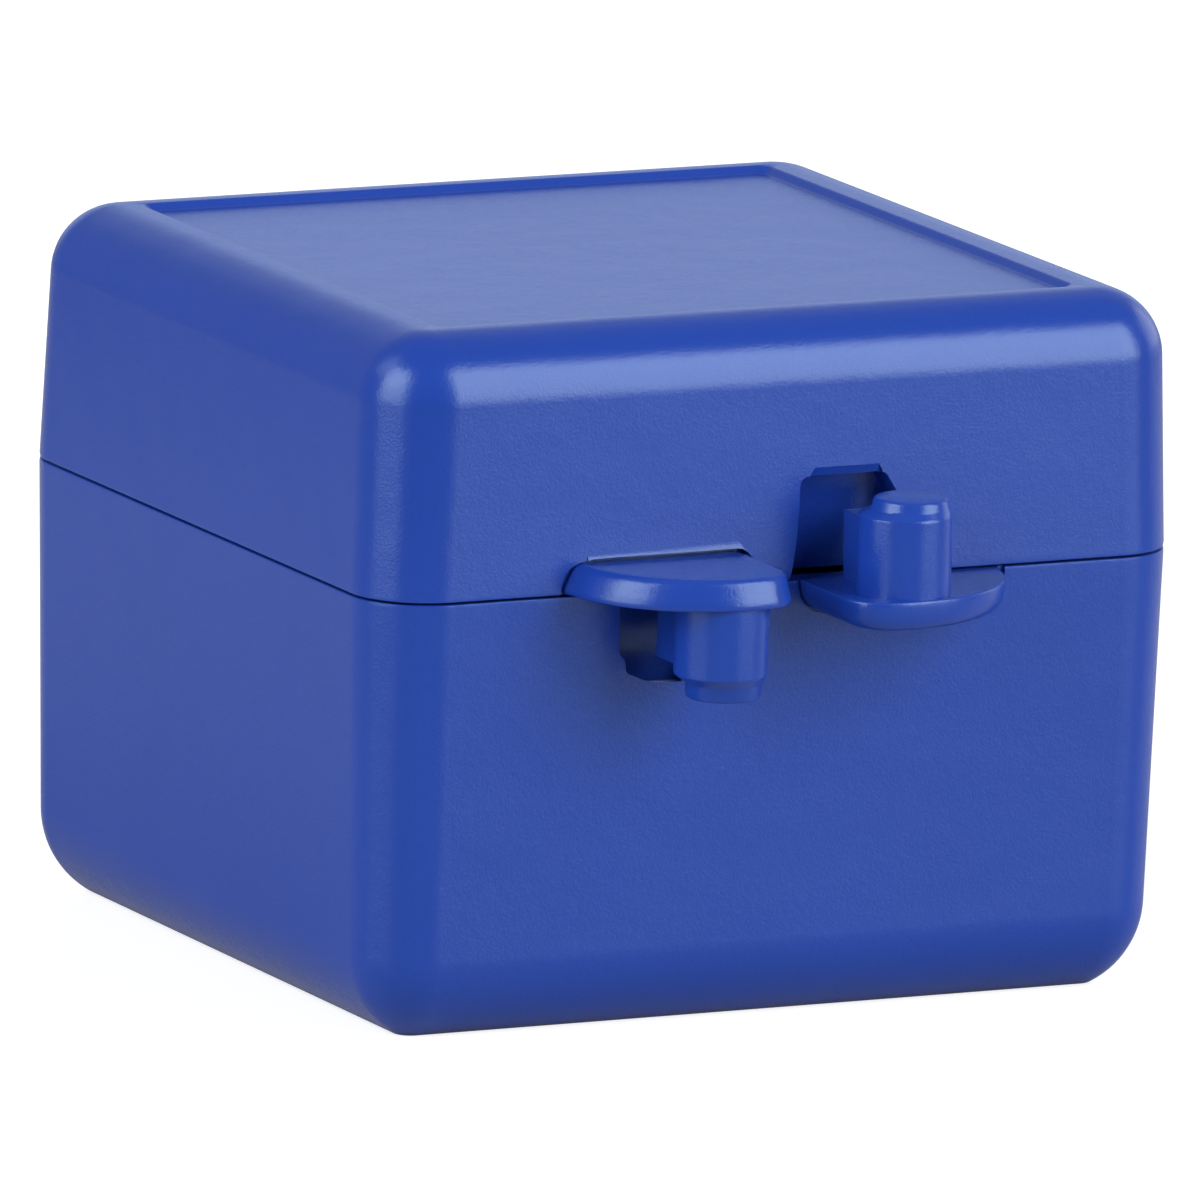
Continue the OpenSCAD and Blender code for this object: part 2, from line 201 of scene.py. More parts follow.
def shell_mesh(outer, inner):
    """A half's wall: down its outside to the rim, and back up its inside."""
    return loft(outer[::-1] + inner)


def draw_out(bm, face, step):
    """Draws a face out into a closed bar."""
    drawn = bmesh.ops.extrude_face_region(bm, geom=[face], use_keep_orig=True)["geom"]
    fresh = [item for item in drawn if isinstance(item, bmesh.types.BMVert)]
    bmesh.ops.translate(bm, vec=step, verts=fresh)
    bmesh.ops.recalc_face_normals(bm, faces=bm.faces[:])


def prism(points, low, high, across):
    """A bar with an outline of (x, z) along Y, or of (y, z) along X."""
    bm = bmesh.new()
    if across == "Y":
        verts = [bm.verts.new((x, low, z)) for x, z in points]
        step = (0, high - low, 0)
    else:
        verts = [bm.verts.new((low, y, z)) for y, z in points]
        step = (high - low, 0, 0)
    draw_out(bm, bm.faces.new(verts), step)
    return bm


def block(low, high, bevel, segments):
    """A block between two corners, with rounded edges."""
    bm = bmesh.new()
    bmesh.ops.create_cube(bm, size=1)
    size = [b - a for a, b in zip(low, high)]
    bmesh.ops.scale(bm, vec=size, verts=bm.verts[:])
    bmesh.ops.translate(bm, vec=[(a + b) / 2 for a, b in zip(low, high)], verts=bm.verts[:])
    soften(bm, bm.edges[:], bevel, segments)
    return bm


def soften(bm, edges, width, segments):
    """Rounds edges with a bevel."""
    bmesh.ops.bevel(
        bm, geom=edges, offset=width, offset_type='OFFSET', segments=segments,
        profile=0.5, affect='EDGES', material=-1, clamp_overlap=False,
    )


def turned(profile, middle, steps=96):
    """A closed shape turned about an upright axis, from (radius, z) points that end on it."""
    bm = bmesh.new()
    verts = [bm.verts.new((middle[0] + r, middle[1], z)) for r, z in profile]
    edges = [bm.edges.new(pair) for pair in zip(verts, verts[1:])]
    bmesh.ops.spin(
        bm, geom=verts + edges, cent=(middle[0], middle[1], 0), axis=(0, 0, 1),
        dvec=(0, 0, 0), angle=2 * math.pi, steps=steps, use_merge=True,
    )
    bmesh.ops.remove_doubles(bm, verts=bm.verts[:], dist=WELD)
    bmesh.ops.recalc_face_normals(bm, faces=bm.faces[:])
    return bm


def slant(bm, draft):
    """Leans a cutter with a drafted wall: inwards as the distance from the rim grows."""
    shear = Matrix.Identity(4)
    shear[1][2] = math.tan(math.radians(draft))
    bmesh.ops.transform(bm, matrix=shear, verts=bm.verts[:])


def put(bm, x=0.0, y=0.0, z=0.0, flip_x=False, flip_z=False):
    """Moves a half's own shape into the box's frame, mirrored where asked."""
    if flip_x or flip_z:
        turn = Matrix.Diagonal((-1 if flip_x else 1, 1, -1 if flip_z else 1, 1))
        bmesh.ops.transform(bm, matrix=turn, verts=bm.verts[:])
        bmesh.ops.recalc_face_normals(bm, faces=bm.faces[:])
    bmesh.ops.translate(bm, vec=(x, y, z), verts=bm.verts[:])
    return bm


def carve(name, bm, joined=(), cut=()):
    """Joins shapes to a mesh, takes others out of it and gives the finished object."""
    piece = new_object(name, bm)
    helpers = []
    for kind, shapes in (('UNION', joined), ('DIFFERENCE', cut)):
        for shape in shapes:
            helper = new_object(name + "_helper", shape)
            helpers.append(helper)
            step = piece.modifiers.new(kind.lower(), 'BOOLEAN')
            step.operation, step.object, step.solver = kind, helper, 'EXACT'
    bpy.context.view_layer.update()
    seen = piece.evaluated_get(bpy.context.evaluated_depsgraph_get())
    mesh = bpy.data.meshes.new_from_object(seen)
    mesh.name = name
    old = piece.data
    piece.modifiers.clear()
    piece.data = mesh
    bpy.data.meshes.remove(old)
    for helper in helpers:
        data = helper.data
        bpy.data.objects.remove(helper)
        bpy.data.meshes.remove(data)
    return piece


def finish_surface(piece, sharp=32.0):
    """Smooth shading that keeps flat faces flat and hard edges hard."""
    mesh = piece.data
    mesh.shade_smooth()
    mesh.set_sharp_from_angle(angle=math.radians(sharp))
    weighted = piece.modifiers.new("flat_faces_first", 'WEIGHTED_NORMAL')
    weighted.mode, weighted.weight, weighted.keep_sharp = 'FACE_AREA', 80, True


# The two halves

def soft_rim():
    """The eased outer edge along the parting line."""
    return [
        (BODY_W - 2 * inset, BODY_D - 2 * inset, RIM_CORNER - inset, z)
        for inset, z in ((SOFT_EDGE, 0.0), (SOFT_LIP, SOFT_DROP))
    ]


def base_wall():
    """The base's wall and floor, upside down: its rim lies at height 0."""
    outer = soft_rim() + wall_levels(
        BODY_W, BODY_D, BASE_H, RIM_CORNER, FOOT_CORNER, FOOT_EDGE, FOOT_ARC, BASE_DRAFT, LAND, EDGE_STEPS,
    )
    inner = cavity_levels(BASE_H - FLOOR, FOOT_CORNER, BASE_DRAFT)
    return shell_mesh(outer, inner)


def cavity_levels(h, end_r, draft):
    """The inside of a half: the rim's eased edge, the drafted wall and the rounding to the end."""
    w, d = BODY_W - 2 * WALL, BODY_D - 2 * WALL
    levels = wall_levels(
        w, d, h + LAND, RIM_CORNER - WALL, end_r - WALL, INNER_EDGE, 90, draft, LAND, INNER_STEPS,
    )
    levels = [(lw, ld, r, z - LAND) for lw, ld, r, z in levels]
    eased = (w + 2 * SOFT_EDGE, d + 2 * SOFT_EDGE, RIM_CORNER - WALL + SOFT_EDGE, 0.0)
    lowered = (w - 0.005, d - 0.005, RIM_CORNER - WALL, SOFT_EDGE)
    return [eased, lowered] + levels[1:]


# The sunk panel's step, as (outward, drop): an eased brow, a slope and a small fillet at its foot
PANEL_STEP = (
    (0.18, 0.0), (0.08, 0.03), (0.0, 0.1),
    (-0.22, 0.32), (-0.28, 0.365), (-0.36, 0.392), (-0.48, PANEL_SINK),
)


def lid_wall():
    """The lid's wall and roof, with the sunk panel."""
    outer = soft_rim() + wall_levels(
        BODY_W, BODY_D, LID_RISE, RIM_CORNER, LID_CORNER, LID_EDGE, 90, LID_DRAFT, LAND, EDGE_STEPS,
    )
    for out, drop in PANEL_STEP:
        outer.append((PANEL_W + 2 * out, PANEL_D + 2 * out, PANEL_CORNER + out, LID_RISE - drop))
    inner = cavity_levels(LID_RISE - ROOF, LID_CORNER, LID_DRAFT)
    return shell_mesh(outer, inner)


def housing(left, right, h):
    """The closed box behind a pocket, inside the wall, from the pocket's sides and height."""
    return block(
        (left - HOUSING, FRONT + WALL / 2, 0.0),
        (right + HOUSING, FRONT + HOUSING_END, h + HOUSING),
        HOUSING_BEVEL, 3,
    )


def hinge_pad(middle_x, length):
    """The upright pad on the back wall that a knuckle stands on."""
    low = (middle_x - length / 2, BACK - WALL / 2, 0.1)
    high = (middle_x + length / 2, BACK, 2 * KNUCKLE_R)
    return block(low, high, PAD_BEVEL, 2)


def seat_cutter(points, draft):
    """The shallow seat of a tab's root."""
    seat = prism(points, OUTSIDE, SEAT_DEPTH, "Y")
    slant(seat, draft)
    return seat


def seat_slot():
    """The narrow slot between the lid's flange and the top of its seat."""
    points = [
        (-12.9, 1.62), (-3.2, 1.72), (-2.72, 1.5), (-2.5, 1.58), (-2.95, 1.92), (-3.3, 1.98),
        (-10.5, 1.95), (-12.25, 1.92), (-12.9, 1.76),
    ]
    slot = prism(points, OUTSIDE, 0.8, "Y")
    slant(slot, LID_DRAFT)
    return slot


def seat_brow():
    """The thin proud edge along the top of the lid's seat, which runs out into the wall above it."""
    edge = [(-12.5, 1.82), (-3.3, 1.88), (-2.72, 1.66), (-2.36, 1.30)]
    run_out = [(-2.22, 1.42), (-2.62, 2.06), (-3.2, 2.56), (-7.0, 2.46), (-12.6, 2.24)]
    brow = prism(edge + run_out, -BROW_PROUD, BROW_ROOT, "Y")
    for vert in brow.verts:
        if vert.co.y < 0 and any(math.dist((vert.co.x, vert.co.z), point) < 0.01 for point in run_out):
            vert.co.y = 0.03
    slant(brow, LID_DRAFT)
    return brow


# Outlines on the front wall: x across the box, z away from the rim. Cutters start a little past the rim.
LID_SEAT = [
    (-14.18, -0.6), (-14.16, 0.2), (-14.04, 0.70), (-13.88, 1.16), (-13.59, 1.46), (-13.05, 1.74),
    (-12.25, 1.92), (-10.5, 1.95), (-3.3, 1.98), (-2.95, 1.92), (-2.62, 1.72), (-2.42, 1.44), (-2.38, -0.6),
]
BASE_SEAT = [
    (0.50, -0.6), (0.54, 0.3), (0.72, 0.95), (1.05, 1.45), (1.55, 1.80), (2.3, 1.95),
    (12.0, 1.95), (12.7, 1.78), (13.2, 1.30), (13.4, 0.7), (13.45, -0.6),
]
LID_POCKET = [
    (-0.20, -0.6), (-0.04, 0.0), (0.10, 0.4), (0.22, 1.0), (0.40, 2.4), (0.52, 4.0),
    (0.54, 5.15), (0.58, 5.40), (0.74, 5.62), (0.98, 5.72), (5.72, 5.72), (5.95, 5.55),
    (6.33, 4.95), (6.75, 4.3), (6.95, 3.9), (6.95, -0.6),
]
BASE_POCKET = [
    (-10.50, -0.6), (-10.48, 1.0), (-10.40, 3.25), (-10.32, 3.42), (-10.08, 3.62), (-10.0, 3.8),
    (-9.95, 4.3), (-9.82, 4.46), (-9.48, 4.58), (-8.81, 4.87), (-8.25, 4.99), (-7.07, 5.05),
    (-5.35, 5.05), (-4.75, 4.75), (-4.45, 4.15), (-4.45, -0.6),
]


def pocket_cutter(points, deep_rim, spread):
    """A pocket through the wall into its housing, with a leaning back and a sloping far lip."""
    bm = prism(points, OUTSIDE, POCKET_DEPTH, "Y")
    back = [vert for vert in bm.verts if vert.co.y > POCKET_DEPTH - 0.01]
    height = max(vert.co.z for vert in back)
    for vert in back:
        share = max(0.0, vert.co.z) / height
        vert.co.y -= POCKET_LEAN * (share if deep_rim else 1 - share)
        vert.co.z += spread * share
    edges = [edge for edge in bm.edges if all(vert in back for vert in edge.verts)]
    soften(bm, edges, POCKET_BEVEL, 2)
    return bm


def lid_mouth_bevel():
    """The sloped upper lip of the lid's pocket."""
    leaned = math.tan(math.radians(LID_DRAFT)) * 6.1  # of the wall, at the lip's height
    points = [
        (OUTSIDE, 5.3), (leaned + 0.2, 5.3), (leaned + 0.2, 5.74), (leaned, 6.2), (OUTSIDE, 7.6),
    ]
    bm = prism(points, 1.1, 5.72, "X")
    for vert in bm.verts:
        # The lip narrows towards its top
        if vert.co.z > 6:
            vert.co.x += 0.35 if vert.co.x < 2 else -0.3
    return bm


def at_front(shapes, rim, flip):
    """Moves shapes from a half's own frame, at the front wall and the rim, into the box's frame."""
    return [put(shape, y=FRONT, z=rim, flip_z=flip) for shape in shapes]


def lid_shell_piece():
    rim = BASE_H + RIM_GAP
    bm = put(lid_wall(), z=rim)
    box = put(housing(*LID_HOUSING), z=rim)
    pad = put(hinge_pad(0.0, LID_KNUCKLE), z=rim)
    brow = at_front([seat_brow()], rim, False)
    cutters = [
        pocket_cutter(LID_POCKET, True, 0.0), lid_mouth_bevel(),
        seat_cutter(LID_SEAT, LID_DRAFT), seat_slot(),
    ]
    return carve("lid_moulding", bm, [box, pad] + brow, at_front(cutters, rim, False))


def base_shell_piece():
    bm = put(base_wall(), z=BASE_H, flip_z=True)
    joined = [
        put(housing(*BASE_HOUSING), z=BASE_H, flip_z=True),
        put(hinge_pad(KNUCKLE_X, BASE_KNUCKLE), z=BASE_H, flip_z=True),
        put(hinge_pad(-KNUCKLE_X, BASE_KNUCKLE), z=BASE_H, flip_z=True),
    ]
    cutters = [
        pocket_cutter(BASE_POCKET, False, BASE_POCKET_SPREAD), seat_cutter(BASE_SEAT, BASE_DRAFT),
    ]
    return carve("base_moulding", bm, joined, at_front(cutters, BASE_H, True))


# Latch tabs

# A flange's outer face is drawn in by each inset in turn, at these heights over its rim
FLANGE_RISES = (0.7, 1.0, 1.25, 1.42, 1.55, 1.64, 1.69, FLANGE_T)
LID_INSETS = (0.12, 0.22, 0.30, 0.37, 0.45, 0.55, 0.68, 0.80)
BASE_INSETS = (0.02, 0.07, 0.15, 0.24, 0.35, 0.48, 0.62, 0.75)
LID_PULLS, BASE_PULLS = (-0.3, 0.28), (0.5, 0.3)
FILLET_RUN, FILLET_END, FILLET_SINK = 1.1, 4, 0.3


def flange_mesh(r, edge_insets, side_pulls):
    """A flange: a straight side, a corner and a bowed front, drawn in towards its outer face.

    The pulls narrow the outer face from the straight side and from the bowed one, so that the flange's
    ends are rounded like a loaf's.
    """
    middle_y = r - FLANGE_REACH
    corner_x = FLANGE_CORNER - FLANGE_SIDE
    lean_x = corner_x + FLANGE_SHIFT
    lean_y = math.sqrt((r - FLANGE_CORNER) ** 2 - lean_x ** 2)
    meeting = math.atan2(-lean_y, lean_x)
    root_y = SEAT_DEPTH - ROOT_GAP
    last = math.asin((root_y - middle_y) / r)
    bm = bmesh.new()
    root = bm.verts.new((-FLANGE_SIDE, root_y, 0))
    side_end = bm.verts.new((-FLANGE_SIDE, middle_y - lean_y, 0))
    bm.edges.new((root, side_end))
    corner = bmesh.ops.spin(
        bm, geom=[side_end], cent=(corner_x, middle_y - lean_y, 0), axis=(0, 0, 1),
        dvec=(0, 0, 0), angle=meeting + math.pi, steps=14,
    )["geom_last"]
    meeting_vert = next(item for item in corner if isinstance(item, bmesh.types.BMVert))
    bmesh.ops.spin(
        bm, geom=[meeting_vert], cent=(-FLANGE_SHIFT, middle_y, 0), axis=(0, 0, 1),
        dvec=(0, 0, 0), angle=last - meeting, steps=36,
    )
    chain = [root]
    while len(chain) < len(bm.verts):
        chain.append(next(
            edge.other_vert(chain[-1]) for edge in chain[-1].link_edges
            if edge.other_vert(chain[-1]) not in chain
        ))
    for vert in chain:
        # The bowed side runs out into the wall with a small fillet
        away = (root_y - vert.co.y) / FILLET_RUN
        if vert.co.x > FLANGE_MIDDLE and 0 < away < FILLET_END:
            vert.co.x -= FILLET_SINK * (1 - max(0.0, 1 - away) ** 2) * (1 - away / FILLET_END)
    draw_out(bm, bm.faces.new(chain), (0, 0, FLANGE_LAND))
    outer_face = next(
        face for face in bm.faces if all(vert.co.z > FLANGE_LAND / 2 for vert in face.verts)
    )
    widths = (FLANGE_SIDE + FLANGE_MIDDLE, r - FLANGE_SHIFT - FLANGE_MIDDLE)
    past, drawn_in = 0.0, 0.0
    for rise, inset in zip(FLANGE_RISES, edge_insets):
        share = (rise - FLANGE_LAND) / (FLANGE_T - FLANGE_LAND)
        pull = 1 - math.sqrt(max(0.0, 1 - share ** 2))
        bmesh.ops.inset_region(
            bm, faces=[outer_face], thickness=inset - past, use_boundary=True, use_even_offset=True,
        )
        for vert in outer_face.verts:
            side = 0 if vert.co.x < FLANGE_MIDDLE else 1
            narrow = (side_pulls[side] * (pull - drawn_in)) / widths[side]
            vert.co.x -= (vert.co.x - FLANGE_MIDDLE) * narrow
            vert.co.z = rise
            if vert.co.y > root_y - (inset - past) - 0.02:
                vert.co.y = root_y
        past, drawn_in = inset, pull
    bmesh.ops.recalc_face_normals(bm, faces=bm.faces[:])
    rim = [
        edge for edge in bm.edges
        if all(vert.co.z < 0.01 for vert in edge.verts)
        and not all(abs(vert.co.y - root_y) < TOUCH for vert in edge.verts)
    ]
    soften(bm, rim, FLANGE_BEVEL, 3)
    return bm


# The posts' ends, as (radius, height over the end)
BASE_NOSE = (
    (POST_R - 0.04, 1.06), (POST_R - 0.07, 0.95), (POST_R - 0.15, 0.85), (2.24, 0.62), (2.17, 0.5),
    (2.11, 0.2), (2.06, 0.09), (1.97, 0.025), (1.84, 0.0),
)
LID_NOSE = (
    (POST_R - 0.04, 1.42), (POST_R - 0.07, 1.34), (POST_R - 0.13, 1.26), (2.2, 0.9), (2.12, 0.76),
    (2.1, 0.14), (2.05, 0.06), (1.97, 0.015), (1.88, 0.0),
)


def post_mesh(nose, nose_shift):
    """A round post whose end narrows to a nose, a little off the post's middle."""
    profile = [(0, POST_ROOT), (POST_R, POST_ROOT), (POST_R, -1.0)]
    profile += [(r, rise - POST_LEN) for r, rise in nose] + [(0, -POST_LEN)]
    bm = turned(profile, (0, POST_Y))
    first, full = nose[1][1] - POST_LEN, nose[3][1] - POST_LEN
    for vert in bm.verts:
        share = min(1.0, max(0.0, (first - vert.co.z) / (first - full)))
        vert.co.x += nose_shift * share
    return bm


def lug_mesh():
    """The square lug behind a post, with its nose in the other half's pocket."""
    points = [
        (POST_Y, POST_ROOT), (-ROOT_GAP, POST_ROOT), (-ROOT_GAP, -0.05), (LUG_REACH, -0.05),
        (LUG_REACH, LUG_BEVEL - LUG_LEN), (LUG_REACH - LUG_BEVEL, -LUG_LEN), (POST_Y, -LUG_LEN),
    ]
    bm = prism(points, -LUG_W / 2, LUG_W / 2, "X")
    upright = [
        edge for edge in bm.edges
        if abs(edge.verts[0].co.z - edge.verts[1].co.z) > 1
        and min(vert.co.y for vert in edge.verts) > 0
    ]
    soften(bm, upright, LUG_ROUND, 7)
    return bm


def base_tab_piece():
    shapes = [
        flange_mesh(BASE_FLANGE, BASE_INSETS, BASE_PULLS), post_mesh(BASE_NOSE, nose_shift=0.32),
        lug_mesh(),
    ]
    for shape in shapes:
        put(shape, x=BASE_POST, y=FRONT, z=BASE_H, flip_z=True)
    return carve("base_tab", shapes[0], shapes[1:])


def lid_tab_piece():
    post = put(post_mesh(LID_NOSE, nose_shift=-0.2), x=-0.2)
    shapes = [flange_mesh(LID_FLANGE, LID_INSETS, LID_PULLS), post, lug_mesh()]
    for shape in shapes:
        put(shape, x=LID_POST, y=FRONT, z=BASE_H + RIM_GAP, flip_x=True)
    return carve("lid_tab", shapes[0], shapes[1:])


# Hinge

# Outlines about the pin, of ("point", y, z) and ("arc", from, to, steps)
BASE_OUTLINE = (
    ("point", -HINGE_OFFSET, -KNUCKLE_R), ("point", HEEL_Y, -KNUCKLE_R), ("point", HEEL_Y, HEEL_Z),
    ("arc", 44.3, 180.0, 24), ("point", -HINGE_OFFSET, 0.0),
)
LID_OUTLINE = (
    ("point", -HINGE_OFFSET, KNUCKLE_R), ("point", -HINGE_OFFSET, RIM_GAP), ("arc", 177.0, 450.0, 52),
)


def lying_bar(profile, start):
    """A turned bar along X from start, from (radius, distance) points that end on its axis."""
    bm = turned(profile, (0, 0), 64)
    lay = Matrix.Translation(start) @ Matrix.Rotation(math.pi / 2, 4, 'Y')
    bmesh.ops.transform(bm, matrix=lay, verts=bm.verts[:])
    return bm


def knuckle_mesh(outline, from_x, length, hole_r):
    """A knuckle from its outline, and the bar that bores it."""
    bm = bmesh.new()
    chain = []
    for part in outline:
        if part[0] == "point":
            chain.append(bm.verts.new((from_x, part[1], part[2])))
            continue
        first, last, steps = math.radians(part[1]), math.radians(part[2]), part[3]
        start = bm.verts.new((from_x, KNUCKLE_R * math.cos(first), KNUCKLE_R * math.sin(first)))
        chain.append(start)
        known = set(bm.verts)
        bmesh.ops.spin(
            bm, geom=[start], cent=(from_x, 0, 0), axis=(1, 0, 0),
            dvec=(0, 0, 0), angle=last - first, steps=steps,
        )
        while True:
            onward = [
                edge.other_vert(chain[-1]) for edge in chain[-1].link_edges
                if edge.other_vert(chain[-1]) not in known
            ]
            if not onward:
                break
            known.add(onward[0])
            chain.append(onward[0])
    draw_out(bm, bm.faces.new(chain), (length, 0, 0))
    ends = [
        edge for edge in bm.edges
        if abs(edge.verts[0].co.x - edge.verts[1].co.x) < TOUCH
        and not all(vert.co.y < -HINGE_OFFSET + TOUCH for vert in edge.verts)
    ]
    soften(bm, ends, KNUCKLE_BEVEL, 2)
    flared = hole_r + 0.15
    bore = lying_bar([
        (0, -1), (hole_r + 0.6, -1), (flared, -0.4), (flared, -0.05), (hole_r, 0.1),
        (hole_r, length - 0.1), (flared, length + 0.05), (hole_r + 0.6, length + 1), (0, length + 1),
    ], (from_x, 0, 0))
    for shape in (bm, bore):
        bmesh.ops.translate(shape, vec=(0, HINGE_Y, BASE_H), verts=shape.verts[:])
    return bm, bore


def base_knuckle_piece(name, middle_x):
    body, bore = knuckle_mesh(BASE_OUTLINE, middle_x - BASE_KNUCKLE / 2, BASE_KNUCKLE, PIN_R)
    return carve(name, body, (), [bore])


def lid_knuckle_piece():
    body, bore = knuckle_mesh(LID_OUTLINE, -LID_KNUCKLE / 2, LID_KNUCKLE, PIN_R + PIN_CLEARANCE)
    return carve("lid_hinge_knuckle", body, (), [bore])


def pin_piece():
    length = LID_KNUCKLE + 2 * (KNUCKLE_GAP + BASE_KNUCKLE - PIN_INSET)
    end = [(0, 0), (PIN_R - 0.25, 0), (PIN_R - 0.16, 0.03), (PIN_R - 0.03, 0.16), (PIN_R, 0.25)]
    profile = end + [(r, length - along) for r, along in end[::-1]]
    return new_object("pin", lying_bar(profile, (-length / 2, HINGE_Y, BASE_H)))


# Materials

def group_with(name, inputs, outputs):
    """An empty node group with named sockets, each given as (name, kind, default)."""
    group = bpy.data.node_groups.new(name, 'ShaderNodeTree')
    for socket, kind, default in inputs:
        made = group.interface.new_socket(socket, in_out='INPUT', socket_type=kind)
        if default is not None:
            made.default_value = default
    for socket, kind in outputs:
        group.interface.new_socket(socket, in_out='OUTPUT', socket_type=kind)
    return group, group.nodes.new('NodeGroupInput'), group.nodes.new('NodeGroupOutput')


def noise(nodes, links, vector, scale, detail, rough):
    """A noise's values at a vector."""
    node = nodes.new('ShaderNodeTexNoise')
    node.inputs['Scale'].default_value = scale
    node.inputs['Detail'].default_value = detail
    node.inputs['Roughness'].default_value = rough
    links.new(vector, node.inputs['Vector'])
    return node.outputs['Fac']


def math_node(nodes, links, kind, first, second):
    """What a math node puts out for two numbers or sockets."""
    node = nodes.new('ShaderNodeMath')
    node.operation = kind
    for socket, value in zip(node.inputs, (first, second)):
        if isinstance(value, (int, float)):
            socket.default_value = value
        else:
            links.new(value, socket)
    return node.outputs[0]


def spark_grain_group():
    """The eroded tool's grain: a height for the bump, and a mask of its fine spots."""
    group, entry, leave = group_with(
        "spark_grain",
        [("Place", 'NodeSocketVector', None), ("Fine", 'NodeSocketFloat', 0.5),
         ("Wave", 'NodeSocketFloat', 0.5)],
        [("Height", 'NodeSocketFloat'), ("Spots", 'NodeSocketFloat')],
    )
    nodes, links = group.nodes, group.links
    place = entry.outputs["Place"]
    spark = noise(nodes, links, place, SPARK_SCALE, 2.0, 0.6)
    swell = noise(nodes, links, place, SWELL_SCALE, 2.0, 0.5)
    wave = noise(nodes, links, place, WAVE_SCALE, 1.0, 0.4)
    fine = math_node(nodes, links, 'MULTIPLY', spark, entry.outputs["Fine"])
    coarse = math_node(nodes, links, 'MULTIPLY', swell, SWELL_WEIGHT)
    slow = math_node(nodes, links, 'MULTIPLY', wave, entry.outputs["Wave"])
    both = math_node(nodes, links, 'ADD', fine, coarse)
    links.new(math_node(nodes, links, 'ADD', both, slow), leave.inputs["Height"])
    links.new(spark, leave.inputs["Spots"])
    return group


def flow_tone_group():
    """The tone of dyed plastic: a drift over centimetres and specks of a quarter of a millimetre."""
    group, entry, leave = group_with(
        "flow_tone",
        [("Place", 'NodeSocketVector', None), ("Low", 'NodeSocketColor', (0, 0, 0, 1)),
         ("High", 'NodeSocketColor', (1, 1, 1, 1))],
        [("Tone", 'NodeSocketColor')],
    )
    nodes, links = group.nodes, group.links
    broad = noise(nodes, links, entry.outputs["Place"], DRIFT_SCALE, 3.0, 0.5)
    specks = noise(nodes, links, entry.outputs["Place"], SPECK_SCALE, 2.0, 0.6)
    drift = math_node(nodes, links, 'MULTIPLY', broad, DRIFT_WEIGHT)
    speck = math_node(nodes, links, 'MULTIPLY', specks, SPECK_WEIGHT)
    mix = nodes.new('ShaderNodeMix')
    mix.data_type = 'RGBA'
    links.new(math_node(nodes, links, 'ADD', drift, speck), mix.inputs['Factor'])
    links.new(entry.outputs["Low"], mix.inputs['A'])
    links.new(entry.outputs["High"], mix.inputs['B'])
    links.new(mix.outputs['Result'], leave.inputs["Tone"])
    return group


def new_material(name):
    """A material, with its nodes, links and shader."""
    material = bpy.data.materials.new(name)
    material.use_nodes = True
    nodes = material.node_tree.nodes
    return material, nodes, material.node_tree.links, nodes["Principled BSDF"]


def grain_surface(nodes, links, shader, mask, roughs, height, depth):
    """Roughness between two values by a mask, and a bump of the given depth."""
    spread = nodes.new('ShaderNodeMapRange')
    spread.inputs['To Min'].default_value, spread.inputs['To Max'].default_value = roughs
    links.new(mask, spread.inputs['Value'])
    links.new(spread.outputs['Result'], shader.inputs['Roughness'])
    bump = nodes.new('ShaderNodeBump')
    bump.inputs['Strength'].default_value, bump.inputs['Distance'].default_value = 1.0, depth
    links.new(height, bump.inputs['Height'])
    links.new(bump.outputs['Normal'], shader.inputs['Normal'])


def moulded_plastic(name, grain, tone, low, high):
    """Satin dyed plastic with the tool's grain."""
    material, nodes, links, shader = new_material(name)
    shader.inputs['IOR'].default_value = 1.49
    shader.inputs['Specular Tint'].default_value = (0.68, 0.88, 1.0, 1)
    place = nodes.new('ShaderNodeTexCoord').outputs['Object']
    surface = nodes.new('ShaderNodeGroup')
    surface.node_tree = grain
    surface.inputs["Fine"].default_value = SPARK_WEIGHT
    surface.inputs["Wave"].default_value = WAVE_WEIGHT
    links.new(place, surface.inputs["Place"])
    colour = nodes.new('ShaderNodeGroup')
    colour.node_tree = tone
    colour.inputs["Low"].default_value = low + (1,)
    colour.inputs["High"].default_value = high + (1,)
    links.new(place, colour.inputs["Place"])
    links.new(colour.outputs["Tone"], shader.inputs['Base Color'])
    mask, height = surface.outputs["Spots"], surface.outputs["Height"]
    grain_surface(nodes, links, shader, mask, PLASTIC_ROUGH, height, GRAIN_DEPTH)
    return material


def drawn_steel(name):
    """Bright drawn wire: fine lines along its length."""
    material, nodes, links, shader = new_material(name)
    shader.inputs['Metallic'].default_value = 1.0
    place = nodes.new('ShaderNodeTexCoord').outputs['Object']
    stretch = nodes.new('ShaderNodeMapping')
    stretch.inputs['Scale'].default_value = (0.04, 1.0, 1.0)
    links.new(place, stretch.inputs['Vector'])
    lines = noise(nodes, links, stretch.outputs['Vector'], LINE_SCALE, 3.0, 0.6)
    tint = nodes.new('ShaderNodeValToRGB')
    tint.color_ramp.elements[0].color, tint.color_ramp.elements[1].color = STEEL_LOW, STEEL_HIGH
    links.new(lines, tint.inputs['Fac'])
    links.new(tint.outputs['Color'], shader.inputs['Base Color'])
    grain_surface(nodes, links, shader, lines, STEEL_ROUGH, lines, LINE_DEPTH)
    return material


# Studio

def seen_rays(nodes, links, share):
    """1 for rays from the camera or through glass, a share for mirrored rays and 0 for all others."""
    rays = nodes.new('ShaderNodeLightPath').outputs
    mirrored = math_node(nodes, links, 'MULTIPLY', rays['Is Glossy Ray'], share)
    straight = math_node(nodes, links, 'MAXIMUM', rays['Is Camera Ray'], rays['Is Transmission Ray'])
    return math_node(nodes, links, 'MAXIMUM', straight, mirrored)


